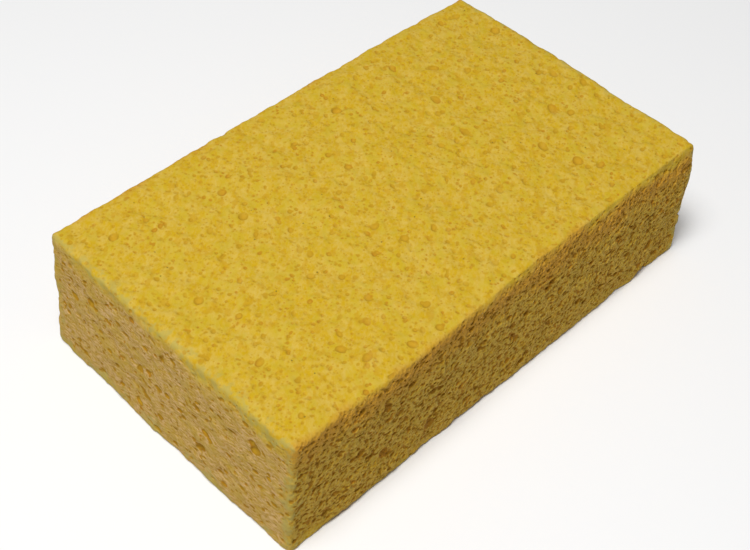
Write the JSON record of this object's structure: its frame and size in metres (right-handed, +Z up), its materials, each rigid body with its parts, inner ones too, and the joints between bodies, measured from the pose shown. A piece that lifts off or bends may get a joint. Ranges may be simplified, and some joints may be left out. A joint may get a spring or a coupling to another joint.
{
  "type": "grout sponge",
  "caption": "Rectangular block of open-pored yellow cellulose foam for wetting and wiping grout off tiles, with flat working faces and pitted cut sides.",
  "frame": {"origin": "centre of the base face, which rests on the floor", "axes": "+X along the length, +Y across the width, +Z up through the thickness"},
  "size_m": [0.19, 0.1124, 0.05],
  "materials": {
    "cellulose_foam": "matt open-pored foam, mottled golden yellow"
  },
  "bodies": {
    "root": {"cellulose_sponge": "cellulose_foam"}
  },
  "joints": []
}
